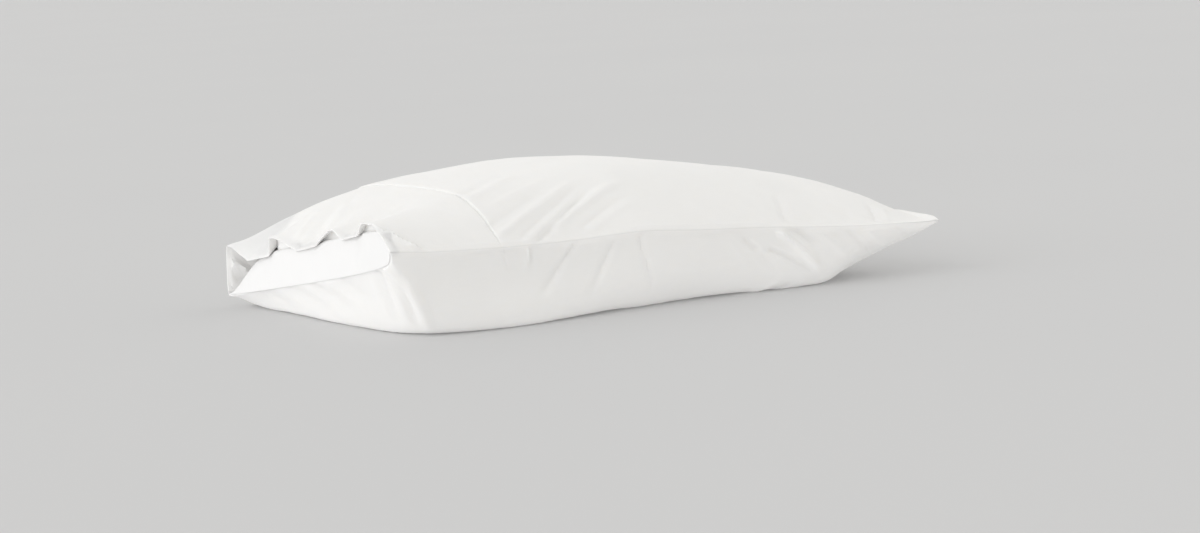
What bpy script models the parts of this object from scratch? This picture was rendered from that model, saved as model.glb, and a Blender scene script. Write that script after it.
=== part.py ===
"""A filled pillowcase that lies on its back.

One stuffed case with a deep hem round its open end, and the inner flap that
covers the stuffing there and is tucked in under the hem.  Metres, +Z up.  +X
runs along the case from its open end to its closed end, and -Y is its near
side.  The origin is at the middle of its underside.  All the sizes below are
in millimetres.
"""
from collections import namedtuple

import bpy
import numpy as np

MM = 0.001

# Driving dimensions
LENGTH = 720.0        # corner to corner along a side seam
END_BOW = 26.0        # how far the closed end draws in between its corners
BOW_SQUARE = 2.5      # how square that end's corners stay
BOW_REACH = 3         # how soon the draw fades towards the open end
FLOOR_ROUND = 9.0     # softness of the turn from the belly's side to its flat
HEM_THICK = 2.5       # the doubled cloth of the hem
FLAP_THICK = 2.4
TOUCH = 0.4           # between the flap and what it lies on
HEM_CLEAR = 1.6       # between the flap and the hem over it
STITCH_ALONG = 138.0  # the hem's stitch line, from its edge
STITCH_DIP = 0.9
STITCH_HALF = 5.0
SEAM_PROUD = 1.6      # the side seams' ridge
SWELL_FROM = 3        # how late towards the seam the bottom's sides swell out
SWELL_TO = 40         # how close to the seam the swell is drawn in again
SMOOTH_UNDER = 50.0   # degrees between two faces, above which an edge is sharp

# Cross-sections of the stuffed case, one row for each station along it.  Each
# has the half width between the seams, the height of the near and the far
# seam, the rise of the top panel over the line between them with how square
# its shoulders are, and the drop of the bottom panel below that line with how
# round it is and how far it swells past the seams.
SECTION_COLUMNS = (
    "along", "half", "near_z", "far_z", "rise_near", "rise_far",
    "square_near", "square_far", "drop_near", "drop_far", "round", "swell")
SECTIONS = (
    (0, 236, 100, 19, 28, 33, 8.0, 150.0, 19, 6, 0.20, 0),
    (10, 236, 99, 20, 31, 38, 7.5, 60.0, 46, 22, 0.21, 1),
    (22, 236, 98, 22, 34, 45, 7.0, 30.0, 82, 45, 0.23, 3),
    (40, 235, 96, 26, 38, 58, 6.3, 18.0, 110, 70, 0.25, 8),
    (70, 233, 94, 34, 43, 77, 5.4, 10.0, 130, 95, 0.26, 15),
    (110, 230, 92, 44, 51, 93, 4.6, 6.0, 140, 110, 0.25, 21),
    (160, 228, 91, 56, 60, 100, 4.0, 4.6, 140, 120, 0.25, 24),
    (230, 226, 91, 68, 69, 95, 3.6, 3.9, 140, 130, 0.29, 24),
    (310, 225, 92, 75, 73, 88, 3.4, 3.5, 140, 130, 0.36, 21),
    (400, 225, 88, 76, 71, 83, 3.3, 3.4, 140, 128, 0.43, 17),
    (490, 226, 83, 74, 66, 76, 3.3, 3.4, 138, 124, 0.44, 15),
    (570, 230, 77, 72, 60, 70, 3.3, 3.4, 132, 116, 0.44, 14),
    (630, 234, 73, 70, 50, 58, 3.3, 3.4, 116, 100, 0.46, 11),
    (680, 237, 70, 68, 28, 33, 3.5, 3.6, 76, 66, 0.54, 6),
    (705, 239, 69, 67, 13, 15, 4.0, 4.0, 40, 37, 0.60, 2),
    (720, 240, 68, 66, 1.2, 1.2, 6.0, 6.0, 1.2, 1.2, 0.50, 0),
)

# Waves of the hem's edge: where each crest lies across the case, how far it
# runs to each side, how high it stands off the flap, and how far back it goes.
Wave = namedtuple("Wave", "across near_run far_run lift reach")
WAVES = (
    Wave(-162, 40, 26, 9, 90),
    Wave(-80, 30, 44, 11, 100),
    Wave(94, 72, 12, 17, 110),
    Wave(236, 62, 20, 22, 150),
)

# Soft ridges (lift above 0) and troughs (below 0) in the two panels.  Each runs
# from one point to another, given by the station along the case and the
# distance from the near seam over the panel, and has a half breadth.
Fold = namedtuple("Fold", "along_1 girth_1 along_2 girth_2 breadth lift")
FOLD_END = 0.3         # how much of a fold's length each end takes to fade out
TOP_FOLDS = (
    Fold(138, 12, 312, 122, 14, 2.8),
    Fold(156, 8, 312, 106, 12, -1.8),
    Fold(170, 2, 334, 100, 14, 2.6),
    Fold(205, 4, 338, 80, 12, -1.6),
    Fold(248, 8, 328, 64, 13, 1.8),
    Fold(522, 6, 536, 60, 12, -2.0),
    Fold(648, 4, 664, 56, 12, -1.8),
)
BOTTOM_FOLDS = (
    Fold(224, 2, 172, 68, 12, 1.8),
    Fold(238, 2, 188, 70, 12, -2.2),
    Fold(294, 4, 242, 72, 13, 2.2),
    Fold(298, 4, 336, 88, 12, -2.2),
    Fold(512, 2, 574, 76, 13, 2.6),
    Fold(500, 30, 568, 98, 13, -3.0),
    Fold(556, 4, 610, 60, 12, 1.6),
)

# The pocket under the hem, and the flap in it.
POCKET_DEPTH = 62.0
CORNER_DEPTH = 112.0   # at the far side, where the stuffing leaves a hollow
CORNER_FROM = 90.0     # that hollow starts this far across
CORNER_WIDTH = 104.0   # its width at the open end
CORNER_LEAST = 0.06    # the part of that width left at its far end
CORNER_ROUND = 1.4
SIDE_CLEAR = 0.5       # between the flap and the hem's sides
SIDE_TAPER = 4.0       # how far the pocket's sides lean in, from seam to lip
SIDE_RAMP = 0.3        # the part of the lip's drop over which its rim comes in
STEEPEST = 1.25        # height for each unit of thickness, on the pocket's slopes
FLAP_ROUND = 16.0      # how far back the flap turns from upright to level
FLAP_ENDS = 0.62       # the flap's hidden edge, in parts of the pocket
FLAP_POINTS = slice(5, -8)  # the points across that the flap has
UP = np.array([0.0, 0.0, 1.0])

PANEL_POINTS = 41      # points across each panel, seam to seam
END_SHARE = 0.7        # how much they crowd towards the seams
OUTER_STATIONS = (
    0, 4, 10, 18, 28, 40, 55, 72, 92, 113, 133, 138, 143, 160,
    *range(178, 358, 18), *range(374, 504, 26), *range(508, 588, 18),
    600, 620, 640, 658, 674, 688, 699, 708, 715, 720)
TURN_STEPS = 6         # rows up the round front of the flap
POCKET_STEPS = (0.2, 0.4, FLAP_ENDS, 0.8, 1.0)


def table_column(rows, names, name, at):
    """A column of a table as a smooth curve with no overshoot."""
    place = np.array([row[0] for row in rows], float)
    value = np.array([row[names.index(name)] for row in rows], float)
    step = np.diff(place)
    slope = np.diff(value) / step
    tangent = np.zeros(len(place))
    tangent[0], tangent[-1] = slope[0], slope[-1]
    for i in range(1, len(place) - 1):
        if slope[i - 1] * slope[i] > 0:
            before = 2 * step[i] + step[i - 1]
            after = step[i] + 2 * step[i - 1]
            tangent[i] = (before + after) / (before / slope[i - 1] + after / slope[i])
    at = np.clip(at, place[0], place[-1])
    k = np.clip(np.searchsorted(place, at, side="right") - 1, 0, len(place) - 2)
    t = (at - place[k]) / step[k]
    return (value[k] * (2 * t**3 - 3 * t**2 + 1)
            + tangent[k] * step[k] * (t**3 - 2 * t**2 + t)
            + value[k + 1] * (3 * t**2 - 2 * t**3)
            + tangent[k + 1] * step[k] * (t**3 - t**2))


def section(name, along):
    return table_column(SECTIONS, SECTION_COLUMNS, name, along)


def blend(near, far, across):
    """From the near side's value to the far side's."""
    share = (1 + across) / 2
    return near * (1 - share) + far * share


def smooth(t):
    t = np.clip(t, 0, 1)
    return t * t * (3 - 2 * t)


def seam_plane(along, across):
    """Where the two panels would lie with nothing in the case."""
    x = along - END_BOW * (along / LENGTH)**BOW_REACH * (1 - np.abs(across)**BOW_SQUARE)
    y = section("half", along) * across
    z = blend(section("near_z", along), section("far_z", along), across)
    return x, y, z


def rest_on_floor(z):
    """Flatten what would sink below the floor, with a soft turn."""
    turn = (z + FLOOR_ROUND)**2 / (4 * FLOOR_ROUND)
    return np.where(z > FLOOR_ROUND, z, np.where(z < -FLOOR_ROUND, 0.0, turn))


def with_folds(grid, along, folds, outward):
    """A panel's points moved out or in by its soft folds."""
    steps = np.linalg.norm(np.diff(grid, axis=1), axis=-1)
    girth = np.pad(np.cumsum(steps, axis=1), ((0, 0), (1, 0)))
    lift = np.zeros(girth.shape)
    for fold in folds:
        run = np.array([fold.along_2 - fold.along_1, fold.girth_2 - fold.girth_1])
        length = np.hypot(*run)
        from_1 = along - fold.along_1, girth - fold.girth_1
        ahead = (from_1[0] * run[0] + from_1[1] * run[1]) / length**2
        aside = (from_1[0] * run[1] - from_1[1] * run[0]) / length
        ends = smooth(ahead / FOLD_END) * smooth((1 - ahead) / FOLD_END)
        lift += fold.lift * ends * np.exp(-2 * (aside / fold.breadth)**2)
    lift[:, 0] = lift[:, -1] = 0.0
    return inset(grid, -outward * lift[..., None])


def wave_lift(along, y):
    """How far the hem stands up from the flap under it."""
    total = np.zeros(np.broadcast(along, y).shape)
    for wave in WAVES:
        run = np.where(y < wave.across, wave.near_run, wave.far_run)
        crest = np.clip(1 - ((y - wave.across) / run)**2, 0, 1)**2
        total = total + wave.lift * crest * np.clip(1 - along / wave.reach, 0, 1)**2
    return total


def seam_ridge(across):
    return np.sign(across) * SEAM_PROUD * (np.abs(across) == 1.0)


def top_panel(along, across, waves=True):
    """The top panel's outer face, before its folds."""
    x, y, z = seam_plane(along, across)
    square = blend(section("square_near", along), section("square_far", along), across)
    rise = blend(section("rise_near", along), section("rise_far", along), across)
    shoulder = 1 - np.abs(across)**square
    z = z + rise * shoulder
    if waves:
        z = z + wave_lift(along, y) * shoulder
        dip = np.clip(1 - ((along - STITCH_ALONG) / STITCH_HALF)**2, 0, 1)
        z = z - STITCH_DIP * dip * shoulder
        y = y + seam_ridge(across)
    return np.stack([x, y, z], axis=-1)


def bottom_panel(along, share):
    """The bottom panel's outer face, before its folds.  The share runs from 0
    at the near seam to 1 at the far seam, closest on the panel's sides."""
    depth = np.sin(np.pi * share)
    across = bottom_across(along, share)
    x, y, z = seam_plane(along, across)
    drop = blend(section("drop_near", along), section("drop_far", along), across)
    side = np.abs(across)**SWELL_FROM * (1 - np.abs(across)**SWELL_TO)
    y = y + np.sign(across) * section("swell", along) * side
    y = y + seam_ridge(across)
    return np.stack([x, y, rest_on_floor(z - drop * depth)], axis=-1)


def bottom_across(along, share):
    depth = np.round(np.sin(np.pi * share), 9)
    width = np.sqrt(1 - depth**(1 / section("round", along)))
    return np.sign(share - 0.5) * width


def bottom_depth(along, across):
    """How deep the bottom panel is at a place across, as a part of its drop."""
    return np.clip(1 - across**2, 0, 1)**section("round", along)


def inset(grid, distance):
    """A grid of points moved down into the case, square to its own surface."""
    back, side = np.gradient(grid, axis=(0, 1))
    normal = np.cross(back, side)
    normal = normal / np.linalg.norm(normal, axis=-1, keepdims=True)
    return grid - distance * normal


def panel_across():
    """Places across a panel from seam to seam, closest near the seams."""
    t = np.linspace(0, 1, PANEL_POINTS)
    across = END_SHARE * -np.cos(np.pi * t) + (1 - END_SHARE) * (2 * t - 1)
    return np.round(across, 9)


def stations_and(places, stations=OUTER_STATIONS):
    """Two grids: each station's place along the case, and places across it."""
    return np.meshgrid(np.array(stations, float), places, indexing="ij")


def pocket_parts():
    """For each of the pocket's rows, how far in it lies and how far up its
    round front it is, as a part of the pocket and a quarter turn's angle."""
    turn = np.linspace(0, np.pi / 2, TURN_STEPS + 1)
    part = np.concatenate([0 * turn, POCKET_STEPS])
    turn = np.pad(turn, (0, len(POCKET_STEPS)), mode="edge")
    return part[:, None], turn[:, None]


def pocket_along(across):
    """How far in the pocket's rows lie, at places across it."""
    part, turn = pocket_parts()
    y = section("half", 0.0) * across
    corner = smooth((y - CORNER_FROM) / (section("half", 0.0) - CORNER_FROM))
    depth = POCKET_DEPTH + (CORNER_DEPTH - POCKET_DEPTH) * corner
    return FLAP_ROUND * (1 - np.cos(turn)) + (depth - FLAP_ROUND) * part


def pocket_half(along):
    """Half the width inside the hem."""
    return section("half", along) - HEM_THICK - SIDE_CLEAR


def under_hem():
    """The hem's inner face, row by row into the pocket."""
    across = panel_across()
    along = pocket_along(across)
    face = inset(top_panel(along, across), HEM_THICK)
    face[..., 0] = np.maximum(face[..., 0], along)
    for end in (0, -1):
        side = pocket_half(along[:, end]) * across[end]
        _, _, seam = seam_plane(along[:, end], side / section("half", along[:, end]))
        face[:, end] = np.stack([along[:, end], side, seam], axis=-1)
    return face


def flap_face(under):
    """The flap's outer face, from the lip up over the stuffing's end and in
    under the hem, or a face that lies a given distance under it.  Its points
    across are those of the lip in front, and those of the hem far in."""
    part, turn = pocket_parts()
    lip_depth = np.sin(np.pi * np.linspace(0, 1, PANEL_POINTS))
    lip_across = bottom_across(0.0, np.linspace(0, 1, PANEL_POINTS))
    under = under * np.clip(lip_depth / SIDE_RAMP, 0, 1)
    across = lip_across * (1 - part) + panel_across() * part
    along = pocket_along(across)
    height = np.sin(turn)
    taper = SIDE_TAPER * lip_depth * (1 - part)
    y = pocket_half(along) * across - np.sign(across) * taper * np.abs(across)
    hem_across = panel_across()
    hem = inset(top_panel(pocket_along(hem_across), hem_across, waves=False),
                HEM_THICK + HEM_CLEAR)
    level_x, level = along.copy(), along.copy()
    for i, row in enumerate(hem):
        level_x[i] = np.interp(y[i], row[:, 1], row[:, 0])
        level[i] = np.interp(y[i], row[:, 1], row[:, 2])
    level = level - under * STEEPEST
    depth = lip_depth * (1 - part) + bottom_depth(0.0, across) * part
    lip = blend(section("drop_near", 0.0), section("drop_far", 0.0), across)
    _, _, base = seam_plane(along, y / section("half", along))
    base = base - lip * depth
    width = CORNER_WIDTH * np.clip(1 - along / CORNER_DEPTH, CORNER_LEAST, 1)
    full = np.clip((pocket_half(along) - y - under) / width, 0, 1)
    full = 1 - (1 - full)**CORNER_ROUND
    z = base + height * full * (level - base)
    x = along + height * (level_x - along) + under
    return np.stack([x, y, z], axis=-1)


def case_rings():
    """The case's skin as rings, from the closed end round the hem's edge and
    into the pocket.  Each ring is a top row and a bottom row, seam to seam."""
    along, places = stations_and(panel_across())
    top = with_folds(top_panel(along, places), along, TOP_FOLDS, 1)
    along, share = stations_and(np.linspace(0, 1, PANEL_POINTS))
    bottom = with_folds(bottom_panel(along, share), along, BOTTOM_FOLDS, -1)
    rings = list(zip(top, bottom))[::-1]
    seat = flap_face(FLAP_THICK + TOUCH)
    return rings + list(zip(under_hem(), seat))


def closed_skin(rings, shared_ends=False, zipped=False):
    """The points and faces of one closed skin over a row of rings.  A ring's
    two rows run from the near side to the far side.  They may share their end
    points, and the last ring may be a single line."""
    points = []
    index = []
    for number, (top, bottom) in enumerate(rings):
        upper = add_row(points, top)
        if zipped and number == len(rings) - 1:
            lower = upper
        elif shared_ends:
            lower = [upper[0]] + add_row(points, bottom[1:-1]) + [upper[-1]]
        else:
            lower = add_row(points, bottom)
        index.append((upper, lower))
    faces = []
    for (upper, lower), (next_upper, next_lower) in zip(index[:-1], index[1:]):
        faces += strip(upper, next_upper)
        faces += strip(next_lower, lower)
        faces += split_quad(lower[0], upper[0], next_upper[0], next_lower[0])
        faces += split_quad(upper[-1], lower[-1], next_lower[-1], next_upper[-1])
    faces += strip(index[0][1], index[0][0])
    faces += strip(index[-1][0], index[-1][1])
    return points, faces


def add_row(points, row):
    start = len(points)
    points.extend(row)
    return list(range(start, start + len(row)))


def strip(row, next_row):
    faces = []
    for j in range(len(row) - 1):
        faces += split_quad(row[j], row[j + 1], next_row[j + 1], next_row[j])
    return faces


def split_quad(a, b, c, d):
    """Two triangles, fewer where corners are the same."""
    return [face for face in ((a, b, c), (a, c, d)) if len(set(face)) == 3]


def build_case(collection, material):
    points, faces = closed_skin(case_rings(), shared_ends=True, zipped=True)
    return add_object("case", points, faces, collection, material)


def build_flap(collection, material):
    outer, inner = flap_face(0.0), flap_face(FLAP_THICK)
    last_row = TURN_STEPS + 1 + POCKET_STEPS.index(FLAP_ENDS)
    rings = []
    for row in range(last_row + 1):
        lift = TOUCH * UP if row == 0 else 0 * UP
        rings.append((outer[row, FLAP_POINTS] + lift, inner[row, FLAP_POINTS] + lift))
    points, faces = closed_skin(rings)
    faces = [face[::-1] for face in faces]
    return add_object("flap", points, faces, collection, material)


def add_object(name, points, faces, collection, material):
    points = (np.array(points) + origin_shift()) * MM
    mesh = bpy.data.meshes.new(name)
    mesh.from_pydata([tuple(p) for p in points.tolist()], [],
                     [tuple(int(v) for v in face) for face in faces])
    mesh.validate()
    mesh.shade_smooth()
    mesh.set_sharp_from_angle(angle=np.radians(SMOOTH_UNDER))
    mesh.materials.append(material)
    piece = bpy.data.objects.new(name, mesh)
    collection.objects.link(piece)
    return piece


def origin_shift():
    """From the open end's near corner to the middle of the underside."""
    return np.array([-LENGTH / 2, 0.0, 0.0])


def cloth_material(name, colour, roughness):
    material = bpy.data.materials.new(name)
    material.use_nodes = True
    shader = material.node_tree.nodes["Principled BSDF"]
    shader.inputs["Base Color"].default_value = (*colour, 1.0)
    shader.inputs["Roughness"].default_value = roughness
    shader.inputs["Metallic"].default_value = 0.0
    return material


def clear_scene():
    for piece in list(bpy.data.objects):
        bpy.data.objects.remove(piece, do_unlink=True)


def main():
    clear_scene()
    collection = bpy.data.collections.new("pillowcase")
    bpy.context.scene.collection.children.link(collection)
    white = cloth_material("white_cotton", (0.86, 0.855, 0.845), 0.85)
    flap_white = cloth_material("white_cotton_flap", (0.90, 0.895, 0.89), 0.85)
    build_case(collection, white)
    build_flap(collection, flap_white)


main()
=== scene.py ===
"""The looks of a filled white pillowcase that lies on its back.

Every size in the tables is in millimetres, measured from the case's open end
along it (x), from its middle line across it (y) and up from the floor (z).
to_frame() turns such points into the row frame, in metres.
"""
import math
from collections import namedtuple
import bpy
import numpy as np
from mathutils import Matrix, Vector


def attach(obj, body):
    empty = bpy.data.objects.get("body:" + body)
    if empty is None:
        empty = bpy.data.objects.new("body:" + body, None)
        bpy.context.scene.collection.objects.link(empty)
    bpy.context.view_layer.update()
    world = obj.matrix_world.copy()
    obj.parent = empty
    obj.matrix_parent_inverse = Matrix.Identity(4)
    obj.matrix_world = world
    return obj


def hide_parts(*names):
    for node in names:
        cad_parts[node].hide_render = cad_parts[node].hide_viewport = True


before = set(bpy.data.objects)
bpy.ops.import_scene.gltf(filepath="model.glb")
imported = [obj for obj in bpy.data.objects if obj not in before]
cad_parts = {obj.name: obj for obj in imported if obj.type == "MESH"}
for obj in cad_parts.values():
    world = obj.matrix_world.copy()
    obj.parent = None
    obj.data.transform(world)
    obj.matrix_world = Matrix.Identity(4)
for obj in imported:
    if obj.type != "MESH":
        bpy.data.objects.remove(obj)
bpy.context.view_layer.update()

MM = 0.001

# The case's plain form.  The higher a power, the later its form sets in.
LENGTH = 720.0         # corner to corner along a side seam
END_BOW = 26.0         # how far the closed end draws in between its corners
BOW_ALONG = 3          # its powers along the case and across it
BOW_ACROSS = 2.5
EAR_LONG = 4.0         # how far the closed end's corners stand out past that
EAR_ALONG = 20         # their powers along the case and across it
EAR_ACROSS = 12
FLOOR_ROUND = 9.0      # softness of the turn from the belly's side to its flat
SWELL_FROM = 3         # the power with which the sides swell towards the seams
SWELL_TO = 40          # and the one with which that ends just before them

# Cross-sections of the stuffed case: the half width between the seams, the
# height of the near and the far seam, the rise of the top panel over the line
# between them with how square its shoulders are, and the drop of the bottom
# panel below that line with how round it is and how far it swells.
SECTION_COLUMNS = (
    "along", "half", "near_z", "far_z", "rise_near", "rise_far",
    "square_near", "square_far", "drop_near", "drop_far", "round", "swell")
SECTIONS = (
    (0, 236, 100, 19, 28, 34, 8.0, 150.0, 19, 6, 0.13, 0),
    (10, 236, 99, 20, 31, 41, 7.5, 60.0, 46, 13, 0.17, 1),
    (22, 236, 98, 22, 34, 49, 7.0, 30.0, 82, 27, 0.21, 3),
    (40, 235, 96, 26, 38, 61, 6.3, 18.0, 110, 50, 0.24, 8),
    (70, 233, 94, 34, 43, 77, 5.4, 10.0, 130, 84, 0.26, 15),
    (110, 230, 92, 44, 51, 90, 4.6, 6.0, 140, 110, 0.25, 21),
    (160, 228, 90, 56, 60.5, 95, 4.0, 4.6, 140, 120, 0.25, 24),
    (230, 226, 89, 68, 70.5, 90, 3.6, 3.9, 140, 130, 0.29, 24),
    (310, 225, 90.5, 75, 74, 88, 3.4, 3.5, 140, 130, 0.36, 21),
    (400, 225, 84, 76, 75, 83, 3.3, 3.4, 134, 128, 0.43, 17),
    (490, 226, 78, 74, 69, 74, 3.3, 3.4, 133, 124, 0.44, 15),
    (570, 230, 71, 72, 59.5, 65, 3.3, 3.4, 126, 116, 0.44, 14),
    (630, 234, 67, 70, 54.5, 57.5, 3.3, 3.4, 92, 98, 0.56, 9),
    (680, 237, 65, 68, 40, 39, 3.6, 3.6, 63, 62, 0.58, 3),
    (705, 239, 64, 67, 16.5, 18, 6.0, 4.4, 41, 36, 0.50, 1),
    (716, 240, 64, 66, 9, 8, 30.0, 8.0, 20, 14, 0.42, 0),
    (720, 240, 64, 66, 6.0, 2.0, 60.0, 16.0, 6.0, 2.0, 0.35, 0),
)

# Waves of the hem's edge: where each crest lies across the case, how far it
# runs to each side, how high it stands off the flap, how far back it goes and
# how far its crest moves across for each step back.
Wave = namedtuple("Wave", "across near_run far_run lift reach skew")
WAVES = (
    Wave(-166, 44, 15, 10.5, 90, 0.3),
    Wave(-82, 27, 48, 12.5, 100, 0.6),
    Wave(97, 76, 6, 18.5, 110, 0.2),
    Wave(238, 70, 20, 23, 150, 0.0),
)
WAVE_SOFT_FROM = 0.25  # a wave is a tent at the hem's edge and grows round from
WAVE_SOFT_TO = 0.8     # one part of its reach to another
CREST_ROUND = 0.16     # how round a tent's top is
FOOT_ROUND = 0.45      # and how softly its sides run out
WAVE_SPREAD = 0.25     # how much wider it gets for each step back
VALLEY_DIP = 2.0       # how far the hem's edge sinks between its waves
VALLEY_REACH = 60.0    # and how far back that goes

# Soft ridges (lift above 0) and troughs (below 0) in the two panels.  Each runs
# from one point to another, given by the station along the case and the
# distance from the near seam over the panel, with a half breadth at each end.
Fold = namedtuple("Fold", "along_1 girth_1 along_2 girth_2 breadth_1 breadth_2 lift")
FOLD_START = 0.12      # how much of a fold's length it takes to rise
FOLD_END = 0.35        # and to fade out
TOP_FOLDS = (
    Fold(132, 10, 304, 115, 6, 10, 3.0),
    Fold(128, 26, 256, 104, 6, 9, -1.6),
    Fold(156, 4, 286, 92, 4, 7, -1.5),
    Fold(166, 0, 292, 84, 5, 7, 1.6),
    Fold(176, -5, 304, 90, 5, 7, -3.0),
    Fold(206, 18, 352, 98, 6, 10, 3.2),
    Fold(244, 14, 332, 62, 4, 6, -1.6),
    Fold(252, 8, 346, 56, 5, 7, 1.1),
    Fold(156, 70, 280, 133, 6, 10, 1.1),
    Fold(132, 88, 246, 162, 7, 12, 1.3),
    Fold(140, 108, 240, 178, 7, 12, -1.0),
    Fold(516, 4, 540, 68, 3, 5, -1.7),
    Fold(530, 8, 552, 60, 5, 8, 0.6),
    Fold(640, 4, 664, 56, 3, 5, -2.0),
    Fold(656, 4, 676, 46, 4, 6, 1.2),
    Fold(600, 3, 622, 40, 5, 8, -0.8),
    Fold(-6, 64, 20, 4, 4, 4, 3.0),
    Fold(0, 34, 48, -10, 4, 5, 5.0),
    Fold(4, 44, 56, -4, 4, 6, -2.0),
    Fold(20, 98, 170, 118, 24, 28, 1.2),
    Fold(26, 128, 110, 154, 8, 12, -1.4),
    Fold(6, 196, 80, 262, 8, 14, -1.4),
    Fold(6, 226, 108, 306, 8, 14, 2.0),
    Fold(8, 258, 96, 326, 8, 12, -1.8),
    Fold(10, 296, 92, 350, 8, 12, 1.8),
    Fold(76, 268, 108, 334, 6, 9, -1.6),
)
BOTTOM_FOLDS = (
    Fold(238, -2, 174, 66, 3, 6, -2.5),
    Fold(286, 4, 236, 72, 3, 6, -2.2),
    Fold(315, -4, 330, 84, 3, 5, -2.3),
    Fold(172, -4, 167, 34, 2.5, 3.5, 2.4),
    Fold(178, -4, 173, 30, 2.5, 3, -2.4),
    Fold(141, -2, 148, 36, 3, 6, -1.0),
    Fold(484, 24, 560, 56, 5, 7, -3.0),
    Fold(498, 2, 574, 63, 6, 9, 5.2),
    Fold(512, -6, 562, 28, 5, 6, -3.6),
    Fold(470, 24, 520, 66, 5, 7, 1.8),
    Fold(452, 10, 516, 64, 5, 7, -2.6),
    Fold(528, 72, 490, 112, 4, 6, -3.0),
    Fold(510, 66, 476, 104, 5, 7, 2.2),
    Fold(546, 2, 618, 52, 4, 7, 1.6),
    Fold(590, 2, 648, 46, 4, 6, -1.8),
    Fold(616, 2, 668, 40, 4, 6, 1.4),
    Fold(660, 2, 698, 28, 3, 5, -1.2),
    Fold(430, 4, 470, 60, 6, 9, 0.9),
    Fold(-6, 20, 40, 62, 6, 8, 3.6),
    Fold(16, 26, 60, 112, 6, 9, 4.4),
    Fold(14, 40, 44, 108, 5, 7, -2.6),
    Fold(3, 36, 40, 112, 4, 6, 1.8),
    Fold(0, 44, 30, 120, 4, 7, -3.2),
    Fold(2, 70, 26, 130, 5, 7, 1.8),
    Fold(0, 150, 22, 110, 5, 8, -2.2),
    Fold(1, 190, 22, 140, 5, 8, 1.6),
    Fold(0, 232, 24, 176, 5, 8, -2.4),
    Fold(2, 262, 24, 204, 6, 9, 1.8),
    Fold(0, 304, 24, 240, 6, 9, -2.6),
    Fold(2, 346, 24, 292, 6, 9, 1.8),
    Fold(0, 388, 26, 350, 6, 9, -2.4),
)

# The hem, its stitch line, and the pocket under it with the flap
HEM_THICK = 1.4
HEM_CLEAR = 0.7        # between the flap and the hem over it
STITCH_ALONG = 138.0
GROOVE_DEEP = 0.9      # of the groove along the stitch line
GROOVE_HALF = 1.6
PUFF = 1.35            # how far the panel puffs up past the stitch line
PUFF_RISE = 2.0        # within this distance of it
PUFF_REACH = 16.0      # and how slowly it sinks again
STITCH_INSET = 30      # how fast groove and puff start from the seams
FLAP_THICK = 0.8
TOUCH = 0.15           # between the flap and what it lies on
FLAP_ROUND = 6.0       # how far back the flap turns from upright to level
FLAP_ENDS = 0.62       # the flap's hidden edge, in parts of the pocket
POCKET_DEPTH = 9.0     # of the pocket under the hem, but for its far side
CORNER_DEPTH = 112.0   # at the far side, where the stuffing leaves a hollow
CORNER_FROM = 90.0     # that hollow starts this far across
CORNER_WIDTH = 104.0   # its width at the open end
CORNER_LEAST = 0.06    # the part of that width left at its far end
CORNER_ROUND = 1.25    # how round the stuffing's corner is there
SIDE_CLEAR = 0.5       # between the flap and the hem's sides
SIDE_TAPER = 4.0       # how far the pocket's sides lean in, from seam to lip
SIDE_RAMP = 0.3        # the part of the lip's drop over which its rim comes in
STEEPEST = 1.25        # height for each unit of thickness, on the pocket's slopes

# Troughs (depth above 0) and ridges (depth below 0) that run up the flap.
Trough = namedtuple("Trough", "across breadth depth slant")
FLAP_TROUGHS = (
    Trough(-148, 11, 3.4, 0.25),
    Trough(-178, 9, -1.4, 0.2),
    Trough(-96, 14, 1.6, 0.3),
    Trough(-30, 10, 1.4, 0.2),
    Trough(14, 12, -1.4, 0.15),
    Trough(62, 9, 1.6, 0.3),
    Trough(118, 16, 1.6, 0.5),
)

# The crumpled wall inside the far corner: where it starts across the case and
# up, how far it takes to set in across, up and in, and its creases.
CREASE_FROM = 222.0
CREASE_ABOVE = 22.0
CREASE_FADES = (8.0, 12.0, 8.0)
CREASE_DEEP = 8.0
CREASE_SIZE = 13.0
CREASE_SLANT = 0.9     # how far they lean back for each step up
CREASE_LONG = 0.35     # how little they change on the way up
CREASE_SHARP = 4
CREASE_SEED = 7

# Small unevenness, which the folds are added to: its height and its size
TOP_SEED = 11          # each panel's first random table
BOTTOM_SEED = 31
TABLE_SIDE = 64        # random heights along each side of a table
TABLE_FROM = (7.3, 3.1)   # where on a table the open end's near corner lies
LUMP_LIFT = 1.5        # the stuffing's lumps
LUMP_SIZE = 95.0
SOFT_LIFT = 0.55       # softer ones between them
SOFT_SIZE = 38.0
CRINKLE_LIFT = 0.22    # the cloth's own crinkles
CRINKLE_SIZE = 11.0
CRINKLE_SLANT = 0.6
CRINKLE_LONG = 0.5
PUCKER_LIFT = 0.75     # puckers, which run in from the seams
PUCKER_SIZE = 9.0
PUCKER_SLANT = 0.35
PUCKER_LONG = 0.12
PUCKER_REACH = 15.0
SEAM_QUIET = 7.0       # the folds die out this close to the seams
SEAM_DEEP = 0.6        # the groove between the two panels at the seams
SEAM_HALF = 1.1
ALLOWANCE_AT = 9.0     # the sewn edges inside show as a low step along the seam
ALLOWANCE_STEP = 2.0
ALLOWANCE_LIFT = 0.15

# The hem's stitches, and how wide one is at places along it
STITCH_LONG = 2.3
STITCH_PITCH = 3.0     # from one to the next
STITCH_THICK = 0.5
STITCH_WIDTHS = ((0.0, 0.35), (0.2, 0.9), (0.8, 0.9), (1.0, 0.35))
STITCH_SUNK = 0.55     # a thread's ring of this width has its middle on the cloth
STITCH_SIDES = 6

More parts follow.
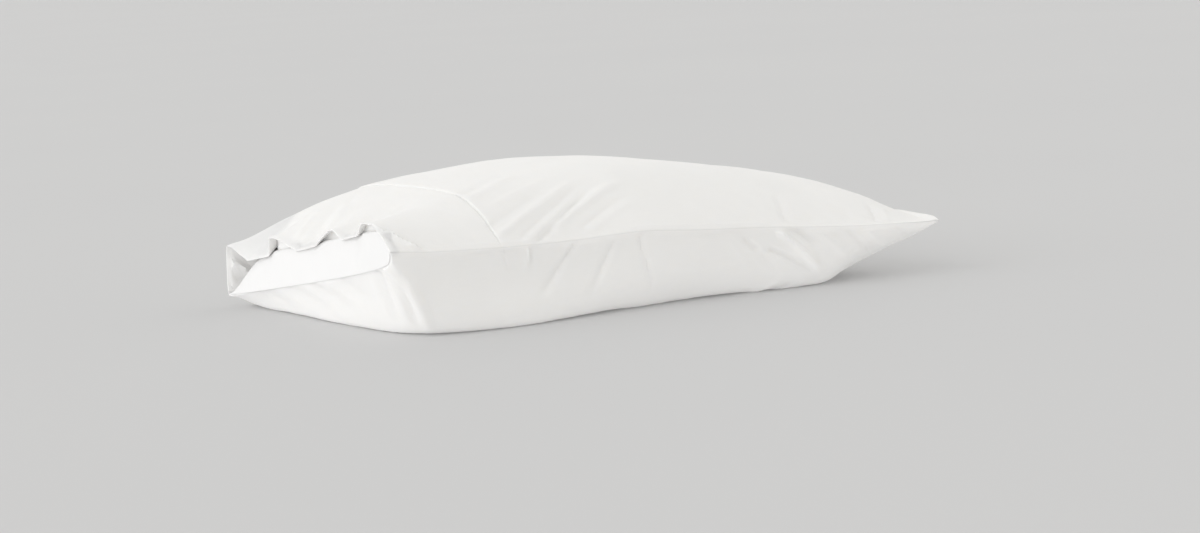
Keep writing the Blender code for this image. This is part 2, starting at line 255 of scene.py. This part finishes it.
# Points
PANEL_POINTS = 201     # across each panel, seam to seam
TOP_CROWD = 0.9        # how much they crowd towards the seams
BOTTOM_CROWD = 0.75
OUTER_STATIONS = np.concatenate([   # closest at the hem's edge and stitch line
    [1, 2, 3.5, 5.5, 8, 11], np.arange(14.5, 132, 4.0), np.arange(134, 144, 0.55),
    np.arange(146, 500, 4.2), np.arange(500, 690, 4.0), np.arange(691, 719, 2.4),
    [719, 720]])
RIM_STEPS = 5          # round the hem's folded edge
TURN_STEPS = 12        # rows up the round front of the flap
POCKET_STEPS = (       # rows in from there, in parts of the pocket
    0.04, 0.09, 0.15, 0.22, 0.3, 0.38, 0.46, 0.54, FLAP_ENDS, 0.7, 0.8, 0.9, 1.0)
FLAP_POINTS = slice(14, -10)   # of the points across, those that the flap has
BESIDE = 0.5           # from a row to the ones beside it that give its slope
EXACT = 9              # decimals kept, so that rows end exactly on the seams
CRISP_FROM = 38.0      # degrees; sharper folds than this have a crisp edge


def table_column(rows, names, name, at):
    """A column of a table as a smooth curve with no overshoot."""
    place = np.array([row[0] for row in rows], float)
    value = np.array([row[names.index(name)] for row in rows], float)
    step = np.diff(place)
    slope = np.diff(value) / step
    tangent = np.zeros(len(place))
    tangent[0], tangent[-1] = slope[0], slope[-1]
    for i in range(1, len(place) - 1):
        if slope[i - 1] * slope[i] > 0:
            before = 2 * step[i] + step[i - 1]
            after = step[i] + 2 * step[i - 1]
            tangent[i] = (before + after) / (before / slope[i - 1] + after / slope[i])
    at = np.clip(at, place[0], place[-1])
    k = np.clip(np.searchsorted(place, at, side="right") - 1, 0, len(place) - 2)
    t = (at - place[k]) / step[k]
    return (value[k] * (2 * t**3 - 3 * t**2 + 1)
            + tangent[k] * step[k] * (t**3 - 2 * t**2 + t)
            + value[k + 1] * (3 * t**2 - 2 * t**3)
            + tangent[k + 1] * step[k] * (t**3 - t**2))


def section(name, along):
    """One measure of the cross-section at a station along the case."""
    return table_column(SECTIONS, SECTION_COLUMNS, name, along)


def blend(near, far, across):
    """From the near side's value to the far side's."""
    share = (1 + across) / 2
    return near * (1 - share) + far * share


def smooth(t):
    """From 0 to 1 with a level start and end."""
    t = np.clip(t, 0, 1)
    return t * t * (3 - 2 * t)


def seam_plane(along, across):
    """Where the two panels would lie with nothing in the case."""
    part = along / LENGTH
    x = along - END_BOW * part**BOW_ALONG * (1 - np.abs(across)**BOW_ACROSS)
    x = x + EAR_LONG * part**EAR_ALONG * np.abs(across)**EAR_ACROSS
    y = section("half", along) * across
    z = blend(section("near_z", along), section("far_z", along), across)
    return x, y, z


def rest_on_floor(z):
    """Flatten what would sink below the floor, with a soft turn."""
    turn = (z + FLOOR_ROUND)**2 / (4 * FLOOR_ROUND)
    return np.where(z > FLOOR_ROUND, z, np.where(z < -FLOOR_ROUND, 0.0, turn))


def uneven(u, v, size, seed):
    """Smooth random heights from -1 to 1 with lumps of about the given size."""
    table = np.random.default_rng(seed).uniform(-1, 1, (TABLE_SIDE, TABLE_SIDE))
    u, v = np.broadcast_arrays(u / size + TABLE_FROM[0], v / size + TABLE_FROM[1])
    i, j = np.floor(u).astype(int), np.floor(v).astype(int)
    a, b = smooth(u - i), smooth(v - j)
    i, j = i % TABLE_SIDE, j % TABLE_SIDE
    next_i, next_j = (i + 1) % TABLE_SIDE, (j + 1) % TABLE_SIDE
    near = table[i, j] * (1 - b) + table[i, next_j] * b
    far = table[next_i, j] * (1 - b) + table[next_i, next_j] * b
    return near * (1 - a) + far * a


def bump(off):
    """A round bump of height 1, down to a seventh of it at 1 from its middle."""
    return np.exp(-2 * off**2)


def wave_lift(along, y):
    """How far the hem's waves stand up from the flap under them."""
    total = np.zeros(np.broadcast(along, y).shape)
    for wave in WAVES:
        off = y - wave.skew * along - wave.across
        soft = along / wave.reach - WAVE_SOFT_FROM
        soft = smooth(soft / (WAVE_SOFT_TO - WAVE_SOFT_FROM))
        run = np.where(off < 0, wave.near_run, wave.far_run) + WAVE_SPREAD * along
        t = np.abs(off) / run
        top = np.hypot(1, CREST_ROUND) - CREST_ROUND
        tent = np.clip(1 - (np.hypot(t, CREST_ROUND) - CREST_ROUND) / top, 0, 1)
        tent = tent * (1 - FOOT_ROUND) + smooth(tent) * FOOT_ROUND
        crest = tent * (1 - soft) + np.clip(1 - t**2, 0, 1)**2 * soft
        total = total + wave.lift * crest * np.clip(1 - along / wave.reach, 0, 1)**2
    return total


def valley_dip(along, y):
    """How far the hem sinks between its waves."""
    share = np.clip(1 - wave_lift(0.0, y) / VALLEY_DIP, 0, 1)
    return VALLEY_DIP * share * np.clip(1 - along / VALLEY_REACH, 0, 1)**2


def top_panel(along, across, waves=True):
    """The top panel's outer face, before its folds."""
    x, y, z = seam_plane(along, across)
    square = blend(section("square_near", along), section("square_far", along), across)
    rise = blend(section("rise_near", along), section("rise_far", along), across)
    shoulder = 1 - np.abs(across)**square
    z = z + (rise - valley_dip(along, y)) * shoulder
    if waves:
        z = z + wave_lift(along, y) * shoulder
        past = along - STITCH_ALONG
        groove = np.clip(1 - (past / GROOVE_HALF)**2, 0, 1)
        puff = np.where(past > 0, smooth(past / PUFF_RISE) * np.exp(-past / PUFF_REACH), 0)
        inside = np.clip((1 - np.abs(across)) * STITCH_INSET, 0, 1)
        z = z + (PUFF * puff - GROOVE_DEEP * groove) * inside
    return np.stack([x, y, z], axis=-1)


def bottom_panel(along, share):
    """The bottom panel's outer face, before its folds.  The share runs from 0
    at the near seam to 1 at the far seam, closest on the panel's sides."""
    depth = np.sin(np.pi * share)
    across = bottom_across(along, share)
    x, y, z = seam_plane(along, across)
    drop = blend(section("drop_near", along), section("drop_far", along), across)
    side = np.abs(across)**SWELL_FROM * (1 - np.abs(across)**SWELL_TO)
    y = y + np.sign(across) * section("swell", along) * side
    return np.stack([x, y, rest_on_floor(z - drop * depth)], axis=-1)


def bottom_across(along, share):
    """Where across the case such a share of the bottom panel lies."""
    depth = np.round(np.sin(np.pi * share), EXACT)
    width = np.sqrt(1 - depth**(1 / section("round", along)))
    return np.sign(share - 0.5) * width


def bottom_depth(along, across):
    """How deep the bottom panel is at a place across, as a part of its drop."""
    return np.clip(1 - across**2, 0, 1)**section("round", along)


def inset(grid, distance):
    """A grid of points moved down into the case, square to its own surface."""
    back, side = np.gradient(grid, axis=(0, 1))
    normal = np.cross(back, side)
    normal = normal / np.linalg.norm(normal, axis=-1, keepdims=True)
    return grid - distance * normal


def girth_of(grid):
    """How far each point is from the near seam, over the panel."""
    steps = np.linalg.norm(np.diff(grid, axis=1), axis=-1)
    return np.pad(np.cumsum(steps, axis=1), ((0, 0), (1, 0)))


def fold_lift(folds, along, girth):
    """How far a panel's folds stand out."""
    lift = np.zeros(girth.shape)
    for fold in folds:
        run = np.array([fold.along_2 - fold.along_1, fold.girth_2 - fold.girth_1])
        length = np.hypot(*run)
        back, across = along - fold.along_1, girth - fold.girth_1
        ahead = (back * run[0] + across * run[1]) / length**2
        aside = (back * run[1] - across * run[0]) / length
        breadth = fold.breadth_1 + (fold.breadth_2 - fold.breadth_1) * np.clip(ahead, 0, 1)
        ends = smooth(ahead / FOLD_START) * smooth((1 - ahead) / FOLD_END)
        lift += fold.lift * ends * bump(aside / breadth)
    return lift


def relief(grid, along, folds, seed):
    """How far each point of a panel stands out from its plain form."""
    girth = girth_of(grid)
    from_seam = np.minimum(girth, girth[:, -1:] - girth)
    from_end = np.minimum(from_seam, LENGTH - along)
    lift = fold_lift(folds, along, girth)
    lift += LUMP_LIFT * uneven(along, girth, LUMP_SIZE, seed)
    lift += SOFT_LIFT * uneven(along, girth, SOFT_SIZE, seed + 1)
    crinkle = uneven(along + CRINKLE_SLANT * girth, girth * CRINKLE_LONG,
                     CRINKLE_SIZE, seed + 2)
    lift += CRINKLE_LIFT * crinkle
    pucker = uneven(along + PUCKER_SLANT * girth, from_seam * PUCKER_LONG,
                    PUCKER_SIZE, seed + 3)
    lift += PUCKER_LIFT * pucker * np.exp(-from_seam / PUCKER_REACH)
    rib = uneven(girth, 0 * along, PUCKER_SIZE, seed + 4)
    lift += PUCKER_LIFT * rib * np.exp((along - LENGTH) / PUCKER_REACH)
    lift *= smooth(from_end / SEAM_QUIET)
    past = from_seam - ALLOWANCE_AT + ALLOWANCE_STEP / 2
    lift += ALLOWANCE_LIFT * (1 - smooth(past / ALLOWANCE_STEP))
    groove = np.clip(1 - from_end / SEAM_HALF, 0, 1)**2
    return lift - (SEAM_DEEP + ALLOWANCE_LIFT) * groove


def dressed(grid, along, folds, outward, seed):
    """A panel's points moved out or in by its folds and unevenness.  Outward is
    1 where the grid's normals point out of the case and -1 where they point in."""
    lift = relief(grid, along, folds, seed)
    moved = inset(grid, -outward * lift[..., None])
    moved[..., 2] = np.maximum(moved[..., 2], 0.0)
    return moved


def panel_across():
    """Places across a panel from seam to seam, closest near the seams."""
    t = np.linspace(0, 1, PANEL_POINTS)
    across = TOP_CROWD * -np.cos(np.pi * t) + (1 - TOP_CROWD) * (2 * t - 1)
    return np.round(across, EXACT)


def panel_share():
    """Shares across the bottom panel, closest near the seams."""
    t = np.linspace(0, 1, PANEL_POINTS)
    return np.round(t - BOTTOM_CROWD * np.sin(2 * np.pi * t) / (2 * np.pi), EXACT)


def pocket_parts():
    """For each of the pocket's rows, how far in it lies and how far up its
    round front it is, as a part of the pocket and a quarter turn's angle."""
    turn = np.linspace(0, np.pi / 2, TURN_STEPS + 1)
    part = np.concatenate([0 * turn, POCKET_STEPS])
    turn = np.pad(turn, (0, len(POCKET_STEPS)), mode="edge")
    return part[:, None], turn[:, None]


def pocket_along(across):
    """How far in the pocket's rows lie, at places across it."""
    part, turn = pocket_parts()
    y = section("half", 0.0) * across
    corner = smooth((y - CORNER_FROM) / (section("half", 0.0) - CORNER_FROM))
    depth = POCKET_DEPTH + (CORNER_DEPTH - POCKET_DEPTH) * corner
    return FLAP_ROUND * (1 - np.cos(turn)) + (depth - FLAP_ROUND) * part


def pocket_half(along):
    """Half the width inside the hem."""
    return section("half", along) - HEM_THICK - SIDE_CLEAR


def under_hem():
    """The hem's inner face, row by row into the pocket, with the crumpled wall
    in its far corner and its two ends on the pocket's sides."""
    across = panel_across()
    along = pocket_along(across) + HEM_THICK / 2
    plain = top_panel(along, across)
    face = inset(plain, HEM_THICK - relief(plain, along, TOP_FOLDS, TOP_SEED)[..., None])
    face[..., 0] = np.maximum(face[..., 0], along)
    x, y, z = np.moveaxis(face, -1, 0)
    fade_y, fade_z, fade_x = CREASE_FADES
    wall = smooth((y - CREASE_FROM) / fade_y) * smooth((z - CREASE_ABOVE) / fade_z)
    wall = wall * smooth(x / fade_x)
    crease = uneven(x + CREASE_SLANT * z, CREASE_LONG * z, CREASE_SIZE, CREASE_SEED)
    face[..., 1] = y - wall * CREASE_DEEP * (1 - np.abs(crease))**CREASE_SHARP
    for end in (0, -1):
        side = pocket_half(along[:, end]) * across[end]
        _, _, seam = seam_plane(along[:, end], side / section("half", along[:, end]))
        face[:, end] = np.stack([along[:, end], side, seam], axis=-1)
    return face


def flap_face(under):
    """The flap's outer face, from the lip up over the stuffing's end and in
    under the hem, or a face that lies a given distance under it.  Its points
    across are those of the lip in front, and those of the hem far in."""
    part, turn = pocket_parts()
    lip_depth = np.sin(np.pi * panel_share())
    lip_across = bottom_across(0.0, panel_share())
    under = under * np.clip(lip_depth / SIDE_RAMP, 0, 1)
    across = lip_across * (1 - part) + panel_across() * part
    along = pocket_along(across)
    height = np.sin(turn)
    taper = SIDE_TAPER * lip_depth * (1 - part)
    y = pocket_half(along) * across - np.sign(across) * taper * np.abs(across)
    hem_across = panel_across()
    hem = inset(top_panel(pocket_along(hem_across), hem_across, waves=False),
                HEM_THICK + HEM_CLEAR)
    level_x, level = along.copy(), along.copy()
    for i, row in enumerate(hem):
        level_x[i] = np.interp(y[i], row[:, 1], row[:, 0])
        level[i] = np.interp(y[i], row[:, 1], row[:, 2])
    level = level - under * STEEPEST
    depth = lip_depth * (1 - part) + bottom_depth(0.0, across) * part
    lip = blend(section("drop_near", 0.0), section("drop_far", 0.0), across)
    _, _, base = seam_plane(along, y / section("half", along))
    base = base - lip * depth
    width = CORNER_WIDTH * np.clip(1 - along / CORNER_DEPTH, CORNER_LEAST, 1)
    full = np.clip((pocket_half(along) - y - under) / width, 0, 1)
    full = 1 - (1 - full)**CORNER_ROUND
    z = base + height * full * (level - base)
    x = along + height * (level_x - along) + under
    for trough in FLAP_TROUGHS:
        off = (y - trough.across - trough.slant * (z - base)) / trough.breadth
        x = x + trough.depth * bump(off) * np.sin(2 * turn)
    return np.stack([x, y, z], axis=-1)


def rim_rows():
    """The hem's folded edge and the lip's, half round, outside to inside."""
    tops, bottoms = [], []
    radius = HEM_THICK / 2
    for angle in np.linspace(0, np.pi, RIM_STEPS + 2)[1:-1]:
        along = radius * (1 - np.sin(angle)) + np.array([0.0, BESIDE])[:, None]
        plain = top_panel(along, panel_across())
        lift = relief(plain, along + 0 * panel_across(), TOP_FOLDS, TOP_SEED)
        sunk = radius * (1 - np.cos(angle)) - lift[..., None]
        top = inset(plain, sunk)[0]
        top[[0, -1]] = plain[0, [0, -1]]
        tops.append(top)
        share = 0.5 * (1 - np.cos(angle))
        outer = bottom_panel(along, panel_share())[0]
        bottoms.append(outer * (1 - share) + flap_face(FLAP_THICK + TOUCH)[0] * share)
    return tops, bottoms


def case_rings():
    """The case's skin as rings, from the closed end round the hem's edge and
    into the pocket.  Each ring is a top row and a bottom row, seam to seam."""
    along, places = np.meshgrid(OUTER_STATIONS, panel_across(), indexing="ij")
    top = dressed(top_panel(along, places), along, TOP_FOLDS, 1, TOP_SEED)
    along, share = np.meshgrid(OUTER_STATIONS, panel_share(), indexing="ij")
    bottom = dressed(bottom_panel(along, share), along, BOTTOM_FOLDS, -1, BOTTOM_SEED)
    rings = list(zip(top, bottom))[::-1]
    seat = flap_face(FLAP_THICK + TOUCH)
    return rings + list(zip(*rim_rows())) + list(zip(under_hem(), seat))


def closed_skin(rings, shared_ends=False, zipped=False):
    """The points and faces of one closed skin over a row of rings, and for each
    point its flat cloth coordinates and how far it is from a seam.  A ring's two
    rows run from the near side to the far side.  They may share their end
    points, and the last ring may be a single line."""
    points, cloth, index = [], [], []
    run = 0.0
    for number, (top, bottom) in enumerate(rings):
        if number:
            run += np.linalg.norm(top - rings[number - 1][0], axis=-1).mean()
        upper = add_row(points, cloth, top, run)
        if zipped and number == len(rings) - 1:
            lower = upper
        elif shared_ends:
            lower = [upper[0]] + add_row(points, cloth, bottom[1:-1], run) + [upper[-1]]
        else:
            lower = add_row(points, cloth, bottom, run)
        index.append((upper, lower))
    faces = []
    for (upper, lower), (next_upper, next_lower) in zip(index[:-1], index[1:]):
        faces += strip(upper, next_upper)
        faces += strip(next_lower, lower)
        faces += corners(lower[0], upper[0], next_upper[0], next_lower[0])
        faces += corners(upper[-1], lower[-1], next_lower[-1], next_upper[-1])
    faces += strip(index[0][1], index[0][0])
    faces += strip(index[-1][0], index[-1][1])
    return np.array(points), faces, np.array(cloth)


def add_row(points, cloth, row, run):
    """Add a row of points to a skin, and give their numbers."""
    start = len(points)
    girth = girth_of(row[None])[0]
    points.extend(row)
    from_seam = np.minimum(girth, girth[-1] - girth)
    cloth.extend(np.stack([run + 0 * girth, girth, from_seam], axis=-1))
    return list(range(start, start + len(row)))


def strip(row, next_row):
    """The faces between two rows."""
    faces = []
    for j in range(len(row) - 1):
        faces += corners(row[j], row[j + 1], next_row[j + 1], next_row[j])
    return faces


def corners(*face):
    """A face without its repeated corners, or nothing where two are left."""
    kept = [v for i, v in enumerate(face) if v != face[i - 1]]
    return [kept] if len(set(kept)) == len(kept) > 2 else []


def to_frame(points):
    """Points in millimetres from the open end, as the row frame's metres."""
    return (np.asarray(points) - np.array([LENGTH / 2, 0, 0])) * MM


def add_mesh(name, points, faces, material, cloth=None):
    """An object of these points, with its cloth coordinates for the shaders."""
    mesh = bpy.data.meshes.new(name)
    mesh.from_pydata(to_frame(points).tolist(), [], faces)
    mesh.validate()
    mesh.shade_smooth()
    mesh.set_sharp_from_angle(angle=math.radians(CRISP_FROM))
    if cloth is not None:
        made = mesh.attributes.new("cloth", "FLOAT_VECTOR", "POINT")
        made.data.foreach_set("vector", (cloth * MM).astype(np.float32).ravel())
    mesh.materials.append(material)
    piece = bpy.data.objects.new(name, mesh)
    bpy.context.scene.collection.objects.link(piece)
    return piece


def build_case(material):
    """The case, down to the pocket under its hem."""
    points, faces, cloth = closed_skin(case_rings(), shared_ends=True, zipped=True)
    return add_mesh("case_cloth", points, faces, material, cloth)


def at_girth(row, girth, place):
    """The point of a row, or the way beside it, at a distance along it."""
    return np.array([np.interp(place, girth, row[:, k]) for k in range(3)])


def add_stitch(points, faces, first, last, side):
    """A short round-ended thread from one point to another."""
    way = (last - first) / np.linalg.norm(last - first)
    side = side / np.linalg.norm(side)
    up = np.cross(side, way)
    base = len(points)
    for share, wide in STITCH_WIDTHS:
        rise = STITCH_THICK * (wide - STITCH_SUNK)
        middle = first + share * (last - first) + up * rise
        for k in range(STITCH_SIDES):
            angle = 2 * math.pi * k / STITCH_SIDES
            spoke = math.cos(angle) * side + math.sin(angle) * up
            points.append(middle + spoke * wide * STITCH_THICK / 2)
    rings = [[base + ring * STITCH_SIDES + k for k in range(STITCH_SIDES)]
             for ring in range(len(STITCH_WIDTHS))]
    for ring, next_ring in zip(rings[:-1], rings[1:]):
        faces.extend(strip(ring + ring[:1], next_ring + next_ring[:1]))
    faces.extend([rings[0][::-1], rings[-1]])


def build_stitches(material):
    """The row of stitches that holds the hem."""
    beside = np.array([-BESIDE, 0.0, BESIDE])[:, None] + STITCH_ALONG
    along, places = np.broadcast_arrays(beside, panel_across())
    face = dressed(top_panel(along, places), along, TOP_FOLDS, 1, TOP_SEED)
    back, line = face[2] - face[0], face[1]
    girth = girth_of(line[None])[0]
    points, faces = [], []
    for start in np.arange(STITCH_PITCH, girth[-1] - STITCH_PITCH, STITCH_PITCH):
        add_stitch(points, faces, at_girth(line, girth, start),
                   at_girth(line, girth, start + STITCH_LONG),
                   at_girth(back, girth, start))
    return add_mesh("hem_stitches", points, faces, material)


def build_flap(material):
    """The flap, from the lip to its hidden edge under the hem."""
    outer, inner = flap_face(0.0), flap_face(FLAP_THICK)
    outer[0, :, 2] += TOUCH
    inner[0, :, 2] += TOUCH
    rows = TURN_STEPS + 2 + POCKET_STEPS.index(FLAP_ENDS)
    rings = list(zip(outer[:rows, FLAP_POINTS], inner[:rows, FLAP_POINTS]))
    points, faces, cloth = closed_skin(rings)
    faces = [face[::-1] for face in faces]
    return add_mesh("flap_cloth", points, faces, material, cloth)


# Materials

# Each cotton's two colours, how far its patterns are shifted, how much light gets
# through it and how dark the painted shade along its seams is.
Cotton = namedtuple("Cotton", "light dark shift glow seam_shade")
COTTONS = {
    "case_cotton": Cotton((0.90, 0.893, 0.88, 1), (0.87, 0.863, 0.85, 1), 0.0, 0.55, 0.93),
    "flap_cotton": Cotton((0.855, 0.852, 0.85, 1), (0.835, 0.832, 0.83, 1), 5.0, 0.0, 1.0),
    "thread": Cotton((0.90, 0.893, 0.88, 1), (0.88, 0.873, 0.86, 1), 9.0, 0.0, 1.0),
}
THREAD_PITCH = 0.0006  # metres from one thread to the next
WEAVE_HIGH = 0.00005
WEAVE_STRENGTH = 0.5
CREASES_HIGH = 0.0006  # creases too small to be modelled
CREASES_STRENGTH = 0.35
CREASES_SCALE = 70.0
SHADE_SCALE = 9.0      # of the drift between a cotton's two colours
SLUB_SCALE = (40.0, 900.0, 1.0)   # thicker and thinner threads
SLUB_SHADE = (0.985, 1.01)
SLUB_ROUGHNESS = (0.78, 0.92)
PAINTED_SEAM_FROM = 0.0002    # the painted shade along the seams fades from here on each side of a seam
PAINTED_SEAM_TO = 0.0006      # and has ended here
GLOW_RADIUS = (1.0, 0.97, 0.92)   # how far light spreads inside, by colour
GLOW_SCALE = 0.01
PAPER_LIGHT = (0.66, 0.66, 0.662, 1)
PAPER_DARK = (0.645, 0.645, 0.65, 1)
PAPER_SCALE = 0.8


def new_material(name):
    """A material, its nodes and its shader."""
    material = bpy.data.materials.new(name)
    material.use_nodes = True
    return material, material.node_tree, material.node_tree.nodes["Principled BSDF"]


def node(tree, kind, inputs=None, **settings):
    """A new node with its settings and inputs."""
    made = tree.nodes.new(kind)
    for key, value in settings.items():
        setattr(made, key, value)
    set_inputs(tree, made, inputs or {})
    return made


def set_inputs(tree, made, inputs):
    """Link or set inputs of a node."""
    for key, value in inputs.items():
        if isinstance(value, bpy.types.NodeSocket):
            tree.links.new(value, made.inputs[key])
        else:
            made.inputs[key].default_value = value


def maths(tree, operation, *values):
    """The result of one operation on numbers."""
    return node(tree, "ShaderNodeMath", dict(enumerate(values)),
                operation=operation).outputs[0]


def vector_maths(tree, operation, *values):
    """The result of one operation on vectors."""
    return node(tree, "ShaderNodeVectorMath", dict(enumerate(values)),
                operation=operation).outputs[0]


def noise(tree, place, scale, detail, roughness=0.5):
    """Smooth random values around a half."""
    return node(tree, "ShaderNodeTexNoise",
                {"Vector": place, "Scale": scale, "Detail": detail,
                 "Roughness": roughness}).outputs["Fac"]


def mapped(tree, value, low, high, start=0.0, end=1.0):
    """From low to high while the value goes from start to end."""
    return node(tree, "ShaderNodeMapRange",
                {"Value": value, "From Min": start, "From Max": end,
                 "To Min": low, "To Max": high}).outputs[0]


def mixed_colour(tree, factor, first, second):
    """From the first colour to the second."""
    made = node(tree, "ShaderNodeMix", {0: factor}, data_type="RGBA")
    set_inputs(tree, made, {6: first, 7: second})   # the sockets for colours
    return made.outputs[2]


def weave_height(tree, place):
    """Height of a plain weave: threads that pass over and under each other."""
    split = node(tree, "ShaderNodeSeparateXYZ", {0: place})
    rounds = []
    for axis in ("X", "Y"):
        turn = maths(tree, "MULTIPLY", split.outputs[axis], math.pi / THREAD_PITCH)
        rounds.append(maths(tree, "ABSOLUTE", maths(tree, "SINE", turn)))
    over = node(tree, "ShaderNodeTexChecker",
                {"Vector": place, "Scale": 1 / THREAD_PITCH}).outputs["Fac"]
    return node(tree, "ShaderNodeMix",
                {"Factor": over, "A": rounds[0], "B": rounds[1]}).outputs[0]


def cotton(name):
    """White percale: a fine plain weave, faint creases, a soft sheen, light that
    comes through, and painted shade along the seam between two panels.  Without
    cloth coordinates, as on the thread, it has neither weave nor painted seam shade."""
    look = COTTONS[name]
    material, tree, shader = new_material(name)
    cloth = node(tree, "ShaderNodeAttribute", attribute_name="cloth").outputs["Vector"]
    place = vector_maths(tree, "MULTIPLY", cloth, (1.0, 1.0, 0.0))
    spot = node(tree, "ShaderNodeTexCoord").outputs["Object"]
    spot = vector_maths(tree, "ADD", spot, (look.shift, 0, 0))
    drift = noise(tree, spot, SHADE_SCALE, detail=3.0)
    threads = vector_maths(tree, "MULTIPLY", place, SLUB_SCALE)
    slub = noise(tree, threads, scale=1.0, detail=2.0)
    # Painted shade: the colour darkens in a thin line along each seam, for the shadow in
    # the seam's crease.
    from_seam = node(tree, "ShaderNodeSeparateXYZ", {0: cloth}).outputs["Z"]
    painted_seam_darkening = mapped(tree, from_seam, look.seam_shade, 1.0, PAINTED_SEAM_FROM, PAINTED_SEAM_TO)
    tint = node(tree, "ShaderNodeHueSaturation",
                {"Color": mixed_colour(tree, drift, look.light, look.dark),
                 "Value": maths(tree, "MULTIPLY", mapped(tree, slub, *SLUB_SHADE), painted_seam_darkening)})
    soft = node(tree, "ShaderNodeBump",
                {"Height": noise(tree, spot, CREASES_SCALE, detail=4.0, roughness=0.6),
                 "Distance": CREASES_HIGH, "Strength": CREASES_STRENGTH})
    fine = node(tree, "ShaderNodeBump",
                {"Height": weave_height(tree, place), "Distance": WEAVE_HIGH,
                 "Strength": WEAVE_STRENGTH, "Normal": soft.outputs[0]})
    set_inputs(tree, shader, {
        "Base Color": tint.outputs[0],
        "Roughness": mapped(tree, slub, *SLUB_ROUGHNESS),
        "Normal": fine.outputs[0],
        "Subsurface Weight": look.glow,
        "Subsurface Radius": GLOW_RADIUS,
        "Subsurface Scale": GLOW_SCALE,
        "Sheen Weight": 0.2,
        "Sheen Roughness": 0.5,
        "Specular IOR Level": 0.25,
    })
    return material


def floor_paper(name):
    """Pale matt paper that is a little uneven in shade."""
    material, tree, shader = new_material(name)
    spot = node(tree, "ShaderNodeTexCoord").outputs["Object"]
    drift = noise(tree, spot, PAPER_SCALE, detail=2.0)
    set_inputs(tree, shader, {
        "Base Color": mixed_colour(tree, drift, PAPER_LIGHT, PAPER_DARK),
        "Roughness": 0.9,
        "Specular IOR Level": 0.1,
    })
    return material


# Stage, lights and camera

FLOOR_HALF = 60.0      # metres, as all places here
FLOOR_LEVEL = -0.0004
CAMERA_TARGET = Vector((-0.094, -0.22, 0.055))
CAMERA_YAW = 29.35     # degrees round from the near side towards the open end
CAMERA_HIGH = 6.6      # and up
CAMERA_ROLL = -3.25
CAMERA_AWAY = 3.2
CAMERA_LENS = 85.2     # millimetres
ROOM_COLOUR = (1.0, 0.994, 0.975, 1.0)
ROOM_LEVEL = 1.09      # the room's brightness level with the floor
ROOM_OVERHEAD = 0.72
KEY_FROM = (-1.0, -0.12, 0.17)
KEY_COLOUR = (0.97, 0.98, 1.0)
KEY_POWER = 1.28
KEY_WIDE = 80.0        # degrees
Board = namedtuple("Board", "name place aim power")
BOARDS = (
    Board("end_board", (-1.35, 0.15, -0.5), (-0.36, 0.0, 0.05), 2.1),
    Board("side_board", (0.12, -0.42, -1.0), (0.1, -0.24, 0.0), 2.4),
)
BOARD_WIDE = 0.6


def build_floor():
    """A level floor, wide enough to have no edge in view."""
    mesh = bpy.data.meshes.new("floor")
    square = [(-1, -1), (1, -1), (1, 1), (-1, 1)]
    mesh.from_pydata([(x * FLOOR_HALF, y * FLOOR_HALF, FLOOR_LEVEL) for x, y in square],
                     [], [(0, 1, 2, 3)])
    mesh.materials.append(floor_paper("floor_paper"))
    floor = bpy.data.objects.new("floor", mesh)
    bpy.context.scene.collection.objects.link(floor)


def add_lamp(name, kind, power, away):
    """A light that shines from the direction that away points in."""
    light = bpy.data.lights.new(name, kind)
    light.energy = power
    lamp = bpy.data.objects.new(name, light)
    lamp.rotation_euler = Vector(away).to_track_quat("Z", "Y").to_euler()
    bpy.context.scene.collection.objects.link(lamp)
    return lamp


def add_board_lights(pieces):
    """Light on the pieces alone, as off white boards laid in front of the open
    end and along the near side."""
    lit = bpy.data.collections.new("lit_by_boards")
    for piece in pieces:
        lit.objects.link(piece)
    for board in BOARDS:
        lamp = add_lamp(board.name, "AREA", board.power,
                        Vector(board.place) - Vector(board.aim))
        lamp.data.shape = "DISK"
        lamp.data.size = BOARD_WIDE
        lamp.location = board.place
        lamp.light_linking.receiver_collection = lit
        lamp.light_linking.blocker_collection = lit


def build_light():
    """A bright even room, darker overhead, and a soft light from the open end."""
    world = bpy.data.worlds.new("studio")
    world.use_nodes = True
    tree = world.node_tree
    toward = node(tree, "ShaderNodeTexCoord").outputs["Generated"]
    high = node(tree, "ShaderNodeSeparateXYZ", {0: toward}).outputs["Z"]
    set_inputs(tree, tree.nodes["Background"], {
        "Color": ROOM_COLOUR,
        "Strength": mapped(tree, high, ROOM_LEVEL, ROOM_OVERHEAD),
    })
    bpy.context.scene.world = world
    key = add_lamp("key", "SUN", KEY_POWER, KEY_FROM)
    key.data.angle = math.radians(KEY_WIDE)
    key.data.color = KEY_COLOUR
    bpy.context.scene.view_settings.view_transform = "Standard"


def build_camera():
    """The photo's viewpoint, as directions to the right, up and back from it."""
    yaw, high, roll = (math.radians(a) for a in (CAMERA_YAW, CAMERA_HIGH, CAMERA_ROLL))
    back = Vector((-math.sin(yaw) * math.cos(high), -math.cos(yaw) * math.cos(high),
                   math.sin(high)))
    level = Vector((math.cos(yaw), -math.sin(yaw), 0))
    upright = back.cross(level)
    right = level * math.cos(roll) + upright * math.sin(roll)
    up = upright * math.cos(roll) - level * math.sin(roll)
    lens = bpy.data.cameras.new("camera")
    lens.lens = CAMERA_LENS
    camera = bpy.data.objects.new("camera", lens)
    turn = Matrix((right, up, back)).transposed().to_4x4()
    camera.matrix_world = Matrix.Translation(CAMERA_TARGET + CAMERA_AWAY * back) @ turn
    bpy.context.scene.collection.objects.link(camera)
    bpy.context.scene.camera = camera


build_camera()
build_light()
build_floor()

case = build_case(cotton("case_cotton"))
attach(case, "root")
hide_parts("case")

flap = build_flap(cotton("flap_cotton"))
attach(flap, "root")
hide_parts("flap")

stitches = build_stitches(cotton("thread"))
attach(stitches, "root")

add_board_lights((case, flap, stitches))
